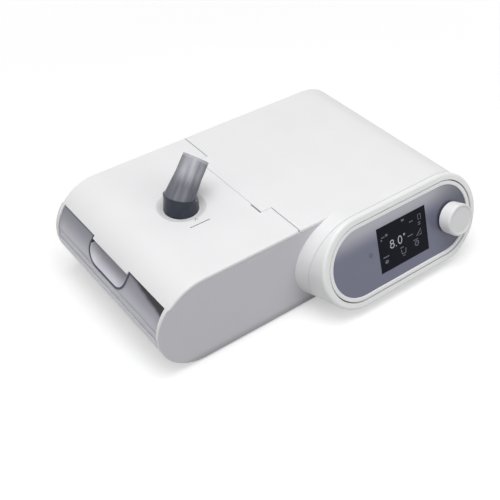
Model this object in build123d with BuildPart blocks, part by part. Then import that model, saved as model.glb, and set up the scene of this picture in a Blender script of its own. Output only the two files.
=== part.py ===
from build123d import *
from math import cos, radians, sin
import os

os.makedirs("parts", exist_ok=True)

# A bilevel airway pressure machine: a humidifier on the left, the blower unit on the right,
# a control panel that leans back in front, and a swivel outlet elbow on top.
# Millimetres, +X right, +Y back, +Z up, origin on the floor under the middle of the whole object.

# Body
body_width = 310.0
body_depth = 162.0
body_height = 84.0
panel_overhang = 2.0
foot_height = 2.0
shell_wall = 3.0
side_wall = 3.0
trim_thickness = 1.0
cover_edge_r = 1.6
seam_gap = 0.3
fit_gap = 0.05

# Humidifier lid and its hinge
humidifier_width = 133.0
ear_depth = 36.0
tongue_step = 10.0
lid_edge_rise = 26.9
tab_drop = 2.4
tab_width = 53.0
slit_length = 13.0
slit_width = 1.6
hinge_pin_r = 0.8
hinge_pin_length = 24.0

# Air outlet
elbow_from_left = 76.0
outlet_r = 11.0
outlet_bore_r = 9.4
outlet_straight = 15.0
elbow_reach = 33.7
elbow_neck_r = 12.5
elbow_base_r = 14.7
elbow_base_top_r = 13.9
elbow_bend_height = 10.0
elbow_lean = 45.0
elbow_heading = 20.0
elbow_setback = 1.05
spigot_r = 12.5
spigot_bore_r = 10.0
boss_r = 18.0
boss_drop = 14.0
dish_r = 20.4
dish_depth = 2.2
retainer_thickness = 1.4
o_ring_r = 0.75

# Control panel
panel_tilt = 18.5
panel_wedge = 2.3
panel_rise = 3.3
panel_inset = 1.0
panel_straight = 93.0
collar_reach = 11.0
collar_lead = 1.5
collar_flare = 4.5
bezel_lip = 1.5
bezel_edge_r = 2.6
groove_inset = 6.1
groove_width = 0.9
trim_ring_width = 3.6
trim_ring_ledge = 1.6
trim_ring_height = 1.1
trim_ring_edge_r = 0.8
fascia_thickness = 2.0
frame_thickness = 2.0
window_width = 55.6
window_height = 41.6
window_u = 0.6
window_v = 0.3
display_thickness = 3.8
board_thickness = 1.6
panel_board_margin = (15.5, 6.2)
panel_board_shift = 6.0
wall_opening_inset = 8.0

# Push and turn knob
knob_r = 14.3
knob_top = 14.0
knob_edge_r = 1.6
knob_rim_width = 2.9
knob_u = 55.7
knob_v = -1.5
knob_travel = 1.0
shaft_r = 3.0

# Water tank
tank_clearance = 0.5
tank_wall = 2.0
tank_inset = 0.8
tank_lift = 5.3
tank_split_rise = 5.0
tank_seal_height = 1.0
tank_top_drop = 21.5
tank_shoulder_gap = 0.8
tank_port_rise = 2.1
skirt_drop = 2.0
skirt_wall = 2.6
skirt_step = 0.8
skirt_end = 12.0
pocket_width = 54.0
pocket_rise = 8.0
pocket_depth = 17.0
pocket_corner_r = 13.0
pocket_liner_wall = 0.4
pocket_trim_width = 1.7
pocket_trim_depth = 0.8
pocket_trim_rise = 0.3
divider_thickness = 3.0
divider_step = 11.0
divider_seal = 2.0
air_port_width = 36.0
air_port_height = 9.0
air_port_drop = 8.3
snorkel_length = 32.0
snorkel_wall = 1.5
heater_r = 36.0
heater_from_left = 75.0

# Blower
blower_from_end = 52.0
blower_from_rear = 59.0
blower_r = 38.0
blower_wall = 2.0
blower_lift = 25.0
blower_height = 26.0
cap_thickness = 2.5
inlet_r = 14.0
inlet_wall = 3.0
inlet_height = 8.0
nozzle_r = 10.5
nozzle_wall = 1.5
nozzle_offset = 23.0
nozzle_rise = 14.0
nozzle_reach = 46.0
motor_r = 18.0
motor_wall = 2.0
motor_lift = 5.0
motor_shaft_r = 2.0
stator_wall = 2.0
coil_count = 6
coil_size = (5.0, 3.4)
rotor_r = 8.8
bearing_r = 5.5
bearing_height = 2.4
impeller_r = 30.0
impeller_hub_r = 9.0
impeller_floor = 1.8
blade_count = 11
blade_thickness = 1.4
mount_pitch = 60.0
mount_r = 5.0
mount_height = 10.0

# Screws, boards and feet
screw_inset = 16.0
case_boss_r = 4.0
case_screw_r = 1.5
case_head_r = 2.8
case_head_height = 2.4
board_width = 90.0
board_from_front = 7.0
board_to_mounts = 11.0
board_lift = 9.0
board_boss_r = 3.5
board_screw_r = 1.0
board_screw_length = 6.0
capacitor_r = 3.6
capacitor_height = 11.0
board_head_r = 2.0
board_head_height = 1.4
board_inset = 4.0
io_size = (58.0, 19.2)
io_lift = 7.0
foot_r = 7.0

# Ports in the rear wall
jack_from_seam = 23.0
jack_r = 5.2
jack_bore_r = 3.2
jack_pin_r = 1.05
jack_depth = 11.0
jack_body = (14.0, 18.0, 13.5)
card_from_seam = 35.0
card_slot_size = (30.0, 8.0)
card_cover_thickness = 1.6
filter_size = (40.0, 32.0)
filter_from_end = 60.0
filter_drop = 14.0
filter_cover_thickness = 2.0
filter_cover_lap = 3.0
intake_depth = 18.0

# Places worked out from the sizes above
overall_width = body_width + panel_overhang
knob_face_r = knob_r - knob_rim_width
left_x = -overall_width / 2
right_x = left_x + body_width
top_z = foot_height + body_height
mid_z = foot_height + body_height / 2
floor_z = foot_height + shell_wall
end_r = body_height / 2
left_centre_x = left_x + end_r
right_centre_x = right_x - end_r
tilt_sin = sin(radians(panel_tilt))
tilt_cos = cos(radians(panel_tilt))
panel_end_r = end_r - panel_inset
panel_reach = collar_reach + panel_wedge + panel_end_r * tilt_sin
knob_overhang = (knob_r - knob_edge_r - knob_v) * tilt_sin + (knob_top - knob_edge_r) * tilt_cos
front_reach = panel_reach + knob_overhang + knob_edge_r
front_y = (front_reach - body_depth) / 2
rear_y = (front_reach + body_depth) / 2
mid_y = (front_y + rear_y) / 2
wall_in_front = front_y + trim_thickness + side_wall
wall_in_rear = rear_y - trim_thickness - side_wall
seam_x = left_x + humidifier_width
tongue_x = seam_x - tongue_step
hinge_r = shell_wall / 2
hinge_x = seam_x - hinge_r
hinge_z = top_z - hinge_r
ear_front = front_y + ear_depth
ear_rear = rear_y - ear_depth
elbow_x = left_x + elbow_from_left
lid_edge_height = mid_z + lid_edge_rise
tab_edge_height = lid_edge_height - tab_drop
boss_bottom = top_z - boss_drop
panel_x = right_x + panel_overhang - panel_end_r - panel_straight / 2
panel = Plane(
    origin=(panel_x, front_y - panel_reach, mid_z + panel_rise),
    x_dir=(1, 0, 0),
    z_dir=(0, -tilt_cos, tilt_sin),
)
groove_r = panel_end_r - groove_inset
ring_outer_r = groove_r - groove_width
ring_inner_r = ring_outer_r - trim_ring_width
fascia_r = ring_outer_r - trim_ring_ledge
collar_y = front_y - collar_reach
collar_left_centre = panel_x - panel_straight / 2 - collar_lead
flare_left_centre = collar_left_centre - collar_flare
divider_x = seam_x - divider_step
tank_right_x = divider_x - divider_seal
tank_front = wall_in_front + tank_clearance
tank_rear = wall_in_rear - tank_clearance
tank_face_r = end_r - tank_inset
tank_bottom = floor_z + tank_lift
tank_split = mid_z + tank_split_rise
tank_top = top_z - tank_top_drop
tank_shoulder_top = lid_edge_height - tank_shoulder_gap
tank_port_top = tank_top + tank_port_rise
skirt_top = mid_z - skirt_drop
pocket_bottom = mid_z + pocket_rise
air_port_z = tank_top - air_port_drop
heater_x = left_x + heater_from_left
blower_x = right_centre_x - blower_from_end
blower_y = wall_in_rear - blower_from_rear
blower_floor = floor_z + blower_lift
blower_top = blower_floor + blower_height
nozzle_y = blower_y - nozzle_offset
nozzle_z = blower_floor + nozzle_rise
nozzle_end_x = blower_x - nozzle_reach
motor_bottom = floor_z + motor_lift
mount_bottom = blower_floor - mount_height
blower_mount_places = [
    (x, y)
    for x in (blower_x - mount_pitch / 2, blower_x + mount_pitch / 2)
    for y in (blower_y - mount_pitch / 2, blower_y + mount_pitch / 2)
]
case_boss_split = mid_z + 0.5
case_head_z = foot_height + 4.0
case_screw_places = [
    (x, y)
    for x in (seam_x + 5.0, right_centre_x - 8.0)
    for y in (front_y + screw_inset, rear_y - screw_inset)
]
board_low = (seam_x + 25.0, front_y + board_from_front)
board_high = (
    board_low[0] + board_width,
    blower_y - mount_pitch / 2 - mount_r - board_to_mounts,
)
board_depth = board_high[1] - board_low[1]
board_z = floor_z + board_lift
board_top = board_z + board_thickness
board_screw_places = [
    (x, y)
    for x in (board_low[0] + board_inset, board_high[0] - board_inset)
    for y in (board_low[1] + board_inset, board_high[1] - board_inset)
]
io_low = (seam_x + 11.0, wall_in_rear - 0.8 - io_size[1])
io_high = (io_low[0] + io_size[0], wall_in_rear - 0.8)
io_z = floor_z + io_lift
io_top = io_z + board_thickness
foot_places = [
    (x, y)
    for x in (left_centre_x + 12.0, right_centre_x - 12.0)
    for y in (front_y + screw_inset, rear_y - screw_inset)
]
jack_x = seam_x + jack_from_seam
jack_z = io_top + jack_body[2] / 2 + 0.25
card_low = (seam_x + card_from_seam, io_top - 0.4)
card_high = (card_low[0] + card_slot_size[0], card_low[1] + card_slot_size[1])
card_mid = ((card_low[0] + card_high[0]) / 2, (card_low[1] + card_high[1]) / 2)
filter_low = (right_centre_x - filter_from_end, mid_z - filter_drop)
filter_high = (filter_low[0] + filter_size[0], filter_low[1] + filter_size[1])
filter_mid = ((filter_low[0] + filter_high[0]) / 2, (filter_low[1] + filter_high[1]) / 2)


def xz(y):
    """The upright plane at depth y, seen from the front: local x is +X and local y is +Z."""
    return Plane.XZ.offset(-y)


def block(low, high, mode=Mode.ADD):
    """A box between two corners."""
    middle = [(a + b) / 2 for a, b in zip(low, high)]
    with Locations(tuple(middle)):
        Box(*[b - a for a, b in zip(low, high)], mode=mode)


def post(x, y, low, high, radius, mode=Mode.ADD):
    """An upright round post or hole from height low to height high."""
    with Locations((x, y, (low + high) / 2)):
        Cylinder(radius, high - low, mode=mode)


def bar(y_low, y_high, x, z, radius, mode=Mode.ADD):
    """A round bar or hole along Y."""
    with Locations(Location((x, (y_low + y_high) / 2, z), (90, 0, 0))):
        Cylinder(radius, y_high - y_low, mode=mode)


def body_slot(inset=0.0, mode=Mode.ADD):
    """The body's outline, straight above and below with half-round ends."""
    with Locations(((left_x + right_x) / 2, mid_z)):
        SlotOverall(body_width - 2 * inset, body_height - 2 * inset, mode=mode)


def stadium(centre_left, centre_right, z, radius, mode=Mode.ADD):
    """A slot given by the centres of its two half-round ends."""
    with Locations(((centre_left + centre_right) / 2, z)):
        SlotOverall(centre_right - centre_left + 2 * radius, 2 * radius, mode=mode)


def face_of_side_wall():
    """The side walls' outline: full size at the open ends, one cover lower under the covers."""
    lower = shell_wall + seam_gap
    body_slot()
    with Locations(((left_x + right_x) / 2, top_z)):
        Rectangle(body_width, 2 * (top_z - lid_edge_height + seam_gap), mode=Mode.SUBTRACT)
    with Locations((right_x, top_z)):
        Rectangle(2 * end_r, body_height, mode=Mode.SUBTRACT)
    body_slot(lower)


def wall_ports(mode=Mode.SUBTRACT):
    """The ports in the rear wall, in front view."""
    with Locations((jack_x, jack_z)):
        Circle(jack_r + seam_gap, mode=mode)
    with Locations(card_mid):
        Rectangle(*card_slot_size, mode=mode)
    with Locations(filter_mid):
        Rectangle(*filter_size, mode=mode)


def tank_profile(radius, low, high):
    """The tank's outline between two heights, with its round left end of the given radius."""
    with Locations((left_centre_x, mid_z)):
        Circle(radius)
    with Locations(((left_centre_x + tank_right_x) / 2, mid_z)):
        Rectangle(tank_right_x - left_centre_x, 2 * radius)
    with Locations((left_centre_x, low)):
        Rectangle(4 * body_height, 2 * body_height, align=(Align.CENTER, Align.MAX), mode=Mode.SUBTRACT)
    with Locations((left_centre_x, high)):
        Rectangle(4 * body_height, 2 * body_height, align=(Align.CENTER, Align.MIN), mode=Mode.SUBTRACT)


def panel_slot(radius, mode=Mode.ADD):
    """A slot that shares its end centres with the control panel's outline."""
    SlotOverall(panel_straight + 2 * radius, 2 * radius, mode=mode)


def save(piece, name):
    """Labels a finished piece and writes it."""
    piece.part.label = name
    export_step(piece.part, f"parts/{name}.step")


# Bottom shell: a trough with low sides on the right, two full side walls, and every seat inside.
with BuildPart() as bottom_shell:
    with BuildSketch(xz(rear_y - trim_thickness)):
        body_slot()
        body_slot(shell_wall, mode=Mode.SUBTRACT)
        with Locations((0, mid_z - seam_gap / 2)):
            Rectangle(2 * body_width, body_height, align=(Align.CENTER, Align.MIN), mode=Mode.SUBTRACT)
        with Locations((left_centre_x - skirt_end, mid_z)):
            Rectangle(body_width, 2 * body_height, align=(Align.MAX, Align.CENTER), mode=Mode.SUBTRACT)
    extrude(amount=body_depth - 2 * trim_thickness)
    with BuildSketch(xz(wall_in_front)):
        face_of_side_wall()
        stadium(
            collar_left_centre, right_centre_x, mid_z, end_r - wall_opening_inset, mode=Mode.SUBTRACT
        )
    extrude(amount=side_wall)
    with BuildSketch(xz(rear_y - trim_thickness)):
        face_of_side_wall()
        wall_ports()
    extrude(amount=side_wall)
    for x, y in case_screw_places:
        post(x, y, floor_z, case_boss_split, case_boss_r)
    for x, y in board_screw_places:
        post(x, y, floor_z, board_z, board_boss_r)
    for x in (io_low[0] + board_inset, io_high[0] - board_inset):
        post(x, io_low[1] + board_inset, floor_z, io_z, board_boss_r)
        post(x, io_high[1] - board_inset, floor_z, io_z, board_boss_r)
    for x, y in blower_mount_places:
        post(x, y, floor_z, mount_bottom, mount_r)
    post(heater_x, mid_y, floor_z, tank_bottom - 1.3, heater_r + 3.0)
    post(heater_x, mid_y, floor_z, tank_bottom, heater_r + 0.4, mode=Mode.SUBTRACT)
    for y in (tank_front + 8.0, tank_rear - 8.0):
        block((left_centre_x - 6.0, y - 2.0, floor_z), (tank_right_x, y + 2.0, tank_bottom - 0.2))
    for x, y in case_screw_places:
        post(x, y, foot_height - 1.0, case_boss_split, case_screw_r + 0.15, mode=Mode.SUBTRACT)
        post(x, y, foot_height - 1.0, case_head_z, case_head_r + 0.2, mode=Mode.SUBTRACT)
    for x, y in board_screw_places:
        post(x, y, floor_z + 1.0, board_z, board_screw_r, mode=Mode.SUBTRACT)
save(bottom_shell, "bottom_shell")

# Grey side panels, bonded to the outside of the side walls.
with BuildPart() as front_side_panel:
    with BuildSketch(xz(front_y + trim_thickness)):
        face_of_side_wall()
        stadium(flare_left_centre, right_centre_x + end_r, mid_z, end_r, mode=Mode.SUBTRACT)
    extrude(amount=trim_thickness)
save(front_side_panel, "front_side_panel")

with BuildPart() as rear_side_panel:
    with BuildSketch(xz(rear_y)):
        face_of_side_wall()
        wall_ports()
        with Locations(filter_mid):
            Rectangle(
                filter_size[0] + 2 * filter_cover_lap,
                filter_size[1] + 2 * filter_cover_lap,
                mode=Mode.SUBTRACT,
            )
    extrude(amount=trim_thickness)
save(rear_side_panel, "rear_side_panel")

# Main cover: top sheet, right end, the tongue between the lid's ears, and the panel's collar.
with BuildPart() as main_cover:
    with BuildSketch(xz(rear_y)):
        body_slot()
    extrude(amount=body_depth)
    fillet(main_cover.edges().group_by(Axis.Y)[0], radius=cover_edge_r)
    fillet(main_cover.edges().group_by(Axis.Y)[-1], radius=cover_edge_r)
    with BuildSketch(xz(front_y + 2 * cover_edge_r)):
        body_slot()
        with Locations((flare_left_centre, mid_z)):
            Rectangle(body_width, body_height, align=(Align.MAX, Align.CENTER), mode=Mode.SUBTRACT)
    extrude(amount=2 * cover_edge_r)
    with BuildSketch(xz(rear_y)):
        body_slot(shell_wall)
        with Locations((0, mid_z + seam_gap / 2)):
            Rectangle(2 * body_width, body_height, align=(Align.CENTER, Align.MAX))
        with Locations((seam_x + seam_gap, mid_z)):
            Rectangle(body_width, 2 * body_height, align=(Align.MAX, Align.CENTER))
    extrude(amount=body_depth, mode=Mode.SUBTRACT)
    block(
        (tongue_x, ear_front + seam_gap / 2, top_z - shell_wall),
        (seam_x + 2 * seam_gap, ear_rear - seam_gap / 2, top_z),
    )
    with BuildSketch(xz(front_y + trim_thickness - seam_gap)):
        stadium(flare_left_centre, right_centre_x, mid_z, end_r)
        stadium(flare_left_centre, right_centre_x, mid_z, end_r - shell_wall, mode=Mode.SUBTRACT)
    extrude(amount=trim_thickness - seam_gap)
    with BuildSketch(xz(front_y)):
        stadium(flare_left_centre, right_centre_x, mid_z, end_r)
    with BuildSketch(xz(collar_y)):
        stadium(collar_left_centre, right_centre_x, mid_z, end_r)
    loft()
    with BuildSketch(xz(front_y)):
        stadium(flare_left_centre, right_centre_x, mid_z, end_r - shell_wall)
    with BuildSketch(xz(collar_y)):
        stadium(collar_left_centre, right_centre_x, mid_z, end_r - shell_wall)
    loft(mode=Mode.SUBTRACT)
    for x, y in case_screw_places:
        post(x, y, case_boss_split + 0.3, top_z - shell_wall, case_boss_r)
        post(x, y, case_boss_split, case_boss_split + 12.0, case_screw_r, mode=Mode.SUBTRACT)
    for y_low, y_high in (
        (ear_front, ear_front + hinge_pin_length / 2),
        (ear_rear - hinge_pin_length / 2, ear_rear),
    ):
        bar(y_low, y_high, hinge_x, hinge_z, hinge_pin_r, mode=Mode.SUBTRACT)
save(main_cover, "main_cover")

with BuildPart() as case_screws:
    for x, y in case_screw_places:
        post(x, y, case_head_z - case_head_height, case_head_z, case_head_r)
        post(x, y, case_head_z, case_boss_split + 10.0, case_screw_r)
        with Locations((x, y, case_head_z - case_head_height)):
            Box(3.6, 0.8, 2.0, mode=Mode.SUBTRACT)
            Box(0.8, 3.6, 2.0, mode=Mode.SUBTRACT)
save(case_screws, "case_screws")

with BuildPart() as rubber_feet:
    for x, y in foot_places:
        post(x, y, 0.0, foot_height, foot_r)
    fillet(rubber_feet.edges().group_by(Axis.Z)[0], radius=0.6)
save(rubber_feet, "rubber_feet")

# Humidifier lid: curls down the left end, lifts by the tab, and turns on pins in its two ears.
with BuildPart() as humidifier_lid:
    with BuildSketch(xz(rear_y)):
        body_slot()
    extrude(amount=body_depth)
    fillet(humidifier_lid.edges().group_by(Axis.Y)[0], radius=cover_edge_r)
    fillet(humidifier_lid.edges().group_by(Axis.Y)[-1], radius=cover_edge_r)
    with BuildSketch(xz(rear_y)):
        body_slot(shell_wall)
        with Locations((0, tab_edge_height)):
            Rectangle(2 * body_width, body_height, align=(Align.CENTER, Align.MAX))
        with Locations((hinge_x, mid_z)):
            Rectangle(2 * body_width, 2 * body_height, align=(Align.MIN, Align.CENTER))
    extrude(amount=body_depth, mode=Mode.SUBTRACT)
    bar(front_y + cover_edge_r, rear_y - cover_edge_r, hinge_x, hinge_z, hinge_r)
    for y_low, y_high in ((front_y, mid_y - tab_width / 2), (mid_y + tab_width / 2, rear_y)):
        block((left_x, y_low, 0), (left_centre_x, y_high, lid_edge_height), mode=Mode.SUBTRACT)
    block(
        (tongue_x - seam_gap, ear_front - seam_gap / 2, 0),
        (seam_x, ear_rear + seam_gap / 2, top_z),
        mode=Mode.SUBTRACT,
    )
    block(
        (tongue_x - slit_width, ear_front - seam_gap / 2, 0),
        (tongue_x, ear_front + slit_length, top_z),
        mode=Mode.SUBTRACT,
    )
    post(elbow_x, mid_y, boss_bottom, top_z - shell_wall, boss_r)
    for y in (mid_y - 40.0, mid_y + 40.0):
        block((left_centre_x - 8.0, y - 0.8, top_z - 9.0), (seam_x - 22.0, y + 0.8, top_z - shell_wall))
    post(elbow_x, mid_y, boss_bottom, top_z, spigot_r + 0.08, mode=Mode.SUBTRACT)
    with Locations((elbow_x, mid_y, top_z - dish_depth / 2)):
        Cone(elbow_base_r + 1.0, dish_r, dish_depth, mode=Mode.SUBTRACT)
    for y_low, y_high in (
        (ear_front - hinge_pin_length / 2, ear_front),
        (ear_rear, ear_rear + hinge_pin_length / 2),
    ):
        bar(y_low, y_high, hinge_x, hinge_z, hinge_pin_r + fit_gap, mode=Mode.SUBTRACT)
save(humidifier_lid, "humidifier_lid")

with BuildPart() as hinge_pins:
    for y in (ear_front, ear_rear):
        bar(y - hinge_pin_length / 2 + 0.5, y + hinge_pin_length / 2 - 0.5, hinge_x, hinge_z, hinge_pin_r)
save(hinge_pins, "hinge_pins")

# Soft bellows under the lid that seals on the tank's outlet port.
with BuildPart() as outlet_gasket:
    post(elbow_x, mid_y, tank_port_top + seam_gap, boss_bottom, boss_r - 0.5)
    post(elbow_x, mid_y, tank_port_top, boss_bottom, spigot_r + 2.8, mode=Mode.SUBTRACT)
save(outlet_gasket, "outlet_gasket")

# Outlet elbow: a spigot that turns in the lid, a flared neck and a 22 mm male cone that leans back.
seat_z = top_z - dish_depth + seam_gap
bend = Vector(elbow_x, mid_y, top_z + elbow_bend_height)
lean_up = sin(radians(elbow_lean))
lean_out = cos(radians(elbow_lean))
tube_direction = Vector(
    lean_out * cos(radians(elbow_heading)),
    lean_out * sin(radians(elbow_heading)),
    lean_up,
)
tube_start = bend - Vector(tube_direction.X, tube_direction.Y, 0).normalized() * elbow_setback
tube_plane = Plane(origin=tube_start, z_dir=tube_direction)
mitre_plane = Plane(origin=bend, z_dir=tube_direction + Vector(0, 0, 1))
neck_slope = elbow_reach - outlet_straight
retainer_z = boss_bottom - seam_gap - retainer_thickness

with BuildPart() as elbow_neck:
    with Locations((elbow_x, mid_y, seat_z + (bend.Z - seat_z) / 2)):
        Cone(elbow_base_r, elbow_base_top_r, bend.Z - seat_z)
    post(elbow_x, mid_y, bend.Z, bend.Z + 2 * elbow_neck_r, elbow_base_top_r)
    split(bisect_by=mitre_plane, keep=Keep.BOTTOM)
    post(elbow_x, mid_y, retainer_z - 1.4, seat_z, spigot_r)

with BuildPart() as elbow_tube:
    with BuildSketch(tube_plane.offset(-2 * elbow_neck_r)):
        Circle(elbow_neck_r)
    extrude(amount=2 * elbow_neck_r)
    with BuildSketch(tube_plane):
        Circle(elbow_neck_r)
    with BuildSketch(tube_plane.offset(neck_slope)):
        Circle(outlet_r)
    loft()
    with BuildSketch(tube_plane.offset(neck_slope)):
        Circle(outlet_r)
    extrude(amount=outlet_straight)
    split(bisect_by=mitre_plane, keep=Keep.TOP)

with BuildPart() as outlet_elbow:
    add(elbow_neck.part)
    add(elbow_tube.part)
    with BuildSketch(tube_plane):
        Circle(outlet_bore_r)
    extrude(amount=elbow_reach, mode=Mode.SUBTRACT)
    with Locations(tube_start):
        Sphere(outlet_bore_r, mode=Mode.SUBTRACT)
    post(elbow_x, mid_y, retainer_z - 2.0, bend.Z, outlet_bore_r, mode=Mode.SUBTRACT)
    with BuildSketch(Plane.XY.offset(retainer_z)):
        with Locations((elbow_x, mid_y)):
            Circle(spigot_r)
            Circle(spigot_r - 0.8, mode=Mode.SUBTRACT)
    extrude(amount=retainer_thickness, mode=Mode.SUBTRACT)
    with BuildSketch(Plane.XY.offset(top_z - 9.0)):
        with Locations((elbow_x, mid_y)):
            Circle(spigot_r)
            Circle(spigot_r - 2 * o_ring_r - 0.05, mode=Mode.SUBTRACT)
    extrude(amount=2.4 * o_ring_r, mode=Mode.SUBTRACT)
save(outlet_elbow, "outlet_elbow")

with BuildPart() as elbow_o_ring:
    with Locations((elbow_x, mid_y, top_z - 9.0 + 1.2 * o_ring_r)):
        Torus(spigot_r - o_ring_r, o_ring_r)
save(elbow_o_ring, "elbow_o_ring")

with BuildPart() as elbow_retainer:
    post(elbow_x, mid_y, retainer_z, retainer_z + retainer_thickness, spigot_r + 1.8)
    post(elbow_x, mid_y, retainer_z, retainer_z + retainer_thickness, spigot_r - 0.8, mode=Mode.SUBTRACT)
save(elbow_retainer, "elbow_retainer")

# Divider between the humidifier bay and the blower bay, with the air port through it.
with BuildPart() as divider_wall:
    block(
        (divider_x, wall_in_front, floor_z),
        (divider_x + divider_thickness, wall_in_rear, top_z - shell_wall - seam_gap),
    )
    with BuildSketch(Plane.YZ.offset(divider_x)):
        with Locations((mid_y, air_port_z)):
            SlotOverall(air_port_width, air_port_height)
    extrude(amount=divider_thickness, mode=Mode.SUBTRACT)
save(divider_wall, "divider_wall")

with BuildPart() as tank_port_seal:
    with BuildSketch(Plane.YZ.offset(tank_right_x + seam_gap)):
        with Locations((mid_y, air_port_z)):
            SlotOverall(air_port_width + 7.0, air_port_height + 7.0)
            SlotOverall(air_port_width, air_port_height, mode=Mode.SUBTRACT)
    extrude(amount=divider_seal - seam_gap)
save(tank_port_seal, "tank_port_seal")

# Water tank: a tub and a cover in smoky clear plastic, which pull out to the left as a drawer.
with BuildPart() as tank_tub:
    with BuildSketch(xz(tank_rear)):
        tank_profile(end_r - skirt_wall - 0.2, tank_bottom, skirt_top)
    extrude(amount=tank_rear - tank_front)
    with BuildSketch(xz(tank_rear)):
        tank_profile(tank_face_r, skirt_top, tank_split)
    extrude(amount=tank_rear - tank_front)
    fillet(tank_tub.edges().filter_by(Axis.Z).sort_by(Axis.X)[-4:], radius=3.0)
    with BuildSketch(xz(tank_rear - tank_wall)):
        with Locations((left_centre_x, mid_z)):
            Circle(end_r - skirt_wall - 0.2 - tank_wall)
        with Locations(((left_centre_x + tank_right_x - tank_wall) / 2, mid_z)):
            Rectangle(tank_right_x - tank_wall - left_centre_x, 2 * (end_r - skirt_wall - 0.2 - tank_wall))
        with Locations((left_centre_x, tank_bottom + tank_wall)):
            Rectangle(4 * body_height, body_height, align=(Align.CENTER, Align.MAX), mode=Mode.SUBTRACT)
    extrude(amount=tank_rear - tank_front - 2 * tank_wall, mode=Mode.SUBTRACT)
    post(heater_x, mid_y, tank_bottom, tank_bottom + tank_wall, heater_r - 0.5, mode=Mode.SUBTRACT)
save(tank_tub, "tank_tub")

with BuildPart() as tank_base_plate:
    post(heater_x, mid_y, tank_bottom - 0.2, tank_bottom + tank_wall, heater_r - 0.7)
    post(heater_x, mid_y, tank_bottom + tank_wall, tank_bottom + tank_wall + 0.8, heater_r + 2.5)
    post(heater_x, mid_y, tank_bottom + 0.8, tank_bottom + tank_wall + 0.8, heater_r - 1.7, mode=Mode.SUBTRACT)
save(tank_base_plate, "tank_base_plate")

# White skirt that closes the lower half of the tank's round end.
with BuildPart() as tank_skirt:
    with BuildSketch(xz(tank_rear)):
        with Locations((left_centre_x, mid_z)):
            Circle(end_r)
            Circle(end_r - skirt_wall, mode=Mode.SUBTRACT)
        with Locations((left_centre_x, skirt_top)):
            Rectangle(4 * end_r, 2 * end_r, align=(Align.CENTER, Align.MIN), mode=Mode.SUBTRACT)
        with Locations((left_centre_x - skirt_end - seam_gap, mid_z)):
            Rectangle(3 * end_r, 4 * end_r, align=(Align.MIN, Align.CENTER), mode=Mode.SUBTRACT)
    extrude(amount=tank_rear - tank_front)
    with BuildSketch(xz(tank_rear)):
        with Locations((left_centre_x, skirt_top - skirt_step / 2)):
            Rectangle(4 * end_r, skirt_step)
        with Locations((left_centre_x, mid_z)):
            Circle(end_r - skirt_wall + skirt_step, mode=Mode.SUBTRACT)
    extrude(amount=tank_rear - tank_front, mode=Mode.SUBTRACT)
save(tank_skirt, "tank_skirt")

cover_bottom = tank_split + tank_seal_height
pocket_x = left_x + end_r - tank_face_r + pocket_depth
tank_inner_r = tank_face_r - tank_wall
shoulder_y = mid_y + pocket_width / 2 + pocket_trim_width


def pocket_outline(grow, mode=Mode.ADD):
    """The finger pocket as a wide U, larger all round by grow."""
    with Locations((mid_y, pocket_bottom - grow)):
        RectangleRounded(
            pocket_width + 2 * grow,
            body_height,
            pocket_corner_r + grow,
            align=(Align.CENTER, Align.MIN),
            mode=mode,
        )


# Dark trim let into the tank's face round the pocket, its sides as high as the shoulders, and the
# pale cup that lines the pocket.
with BuildPart() as pocket_trim:
    with BuildSketch(Plane.YZ.offset(left_x - 1.0)):
        pocket_outline(pocket_trim_width)
        pocket_outline(0, mode=Mode.SUBTRACT)
    extrude(amount=pocket_depth)
    with BuildSketch(xz(tank_rear)):
        tank_profile(tank_face_r + pocket_trim_rise, cover_bottom, tank_shoulder_top)
    extrude(amount=tank_rear - tank_front, mode=Mode.INTERSECT)
    bar(tank_front, tank_rear, left_centre_x, mid_z, tank_face_r - pocket_trim_depth, mode=Mode.SUBTRACT)
save(pocket_trim, "pocket_trim")

with BuildPart() as pocket_liner:
    with BuildSketch(Plane.YZ.offset(left_x)):
        pocket_outline(0)
    extrude(amount=pocket_x - left_x)
    with BuildSketch(Plane.YZ.offset(left_x)):
        pocket_outline(-pocket_liner_wall)
    extrude(amount=pocket_x - left_x - pocket_liner_wall, mode=Mode.SUBTRACT)
    with BuildSketch(xz(tank_rear)):
        tank_profile(tank_face_r, cover_bottom, tank_top)
    extrude(amount=tank_rear - tank_front, mode=Mode.INTERSECT)
save(pocket_liner, "pocket_liner")

with BuildPart() as cover_cavity:
    with BuildSketch(xz(tank_rear - tank_wall)):
        tank_profile(tank_inner_r, cover_bottom, tank_top - tank_wall)
        with Locations((tank_right_x, mid_z)):
            Rectangle(2 * tank_wall, body_height, mode=Mode.SUBTRACT)
    extrude(amount=tank_rear - tank_front - 2 * tank_wall)
    for y_high in (tank_rear, 2 * mid_y - shoulder_y):
        with BuildSketch(xz(y_high - tank_wall)):
            tank_profile(tank_inner_r, cover_bottom, tank_shoulder_top - tank_wall)
            with Locations((tank_right_x, mid_z)):
                Rectangle(2 * tank_wall, body_height, mode=Mode.SUBTRACT)
        extrude(amount=tank_rear - shoulder_y - 2 * tank_wall)
    with BuildSketch(Plane.YZ.offset(left_x)):
        pocket_outline(tank_wall)
    extrude(amount=pocket_x - left_x + tank_wall, mode=Mode.SUBTRACT)

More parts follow.
